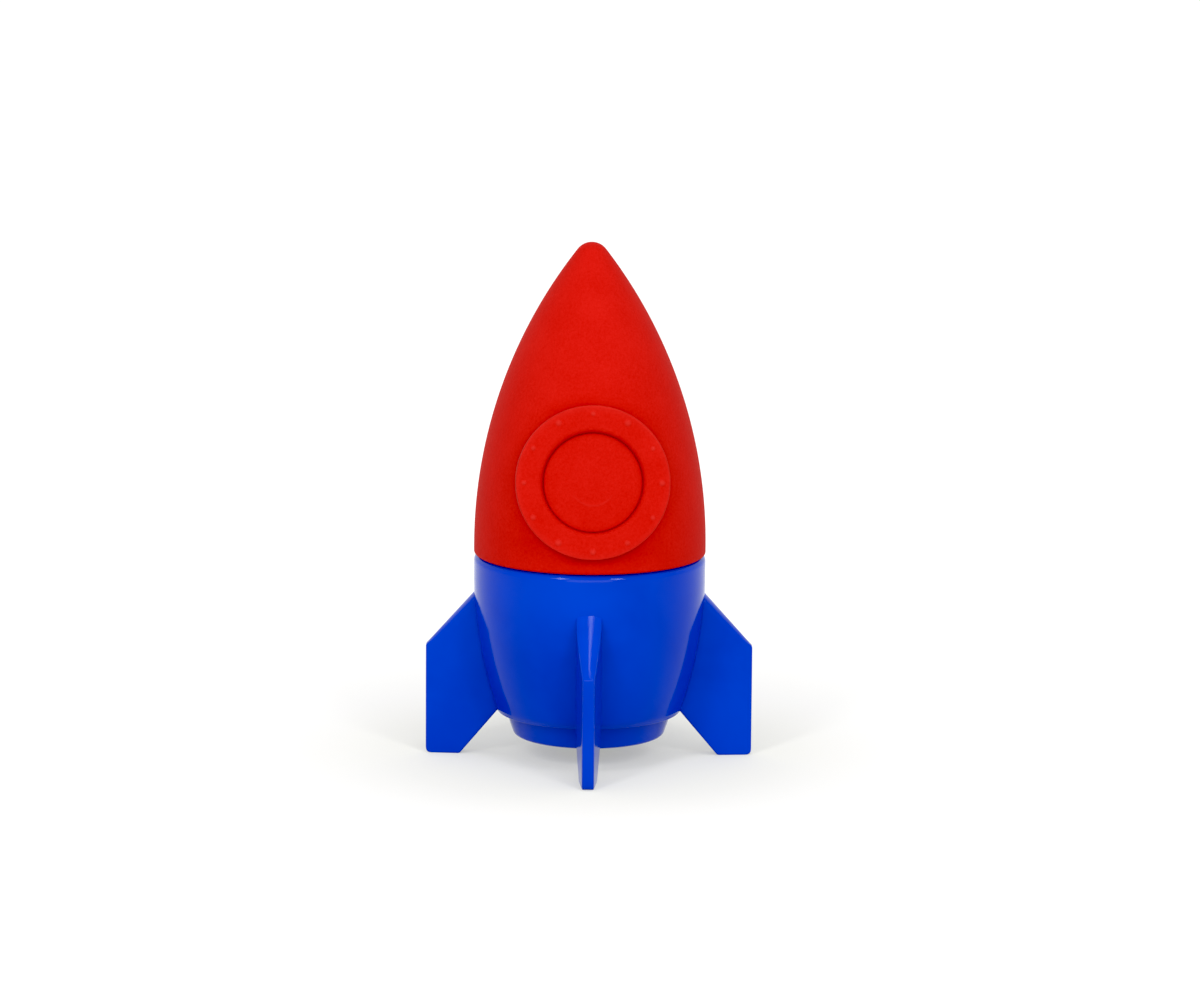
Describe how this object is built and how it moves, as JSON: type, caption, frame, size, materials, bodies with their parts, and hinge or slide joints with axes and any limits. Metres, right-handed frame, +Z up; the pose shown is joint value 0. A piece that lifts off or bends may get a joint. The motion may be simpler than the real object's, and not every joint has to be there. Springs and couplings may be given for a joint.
{
  "type": "rocket eraser and pencil sharpener",
  "caption": "Standing toy rocket: a rubber eraser nose with a moulded porthole plugs a finned plastic cup that holds a wedge pencil sharpener.",
  "frame": {"origin": "middle of the four fins' feet, on the surface that the rocket stands on", "axes": "+Z up along the rocket's axis, -Y out of the porthole, one fin along each of +X, -X, +Y and -Y"},
  "size_m": [0.0568, 0.0568, 0.09],
  "materials": {
    "red_rubber": "matte, fine powdery grain",
    "blue_plastic": "glossy injection moulding",
    "cast_alloy": "die-cast, satin",
    "blade_steel": "ground steel",
    "screw_steel": "plated steel"
  },
  "bodies": {
    "base": {"base_shell": "blue_plastic", "nozzle_plug": "blue_plastic", "sharpener_body": "cast_alloy", "sharpener_blade": "blade_steel", "blade_screw": "screw_steel"},
    "eraser": {"eraser_nose": "red_rubber"}
  },
  "joints": [
    {"name": "eraser_lift", "type": "slide", "parent": "base", "child": "eraser", "axis": [0, 0, 1], "range_m": [0, 0.03]}
  ]
}
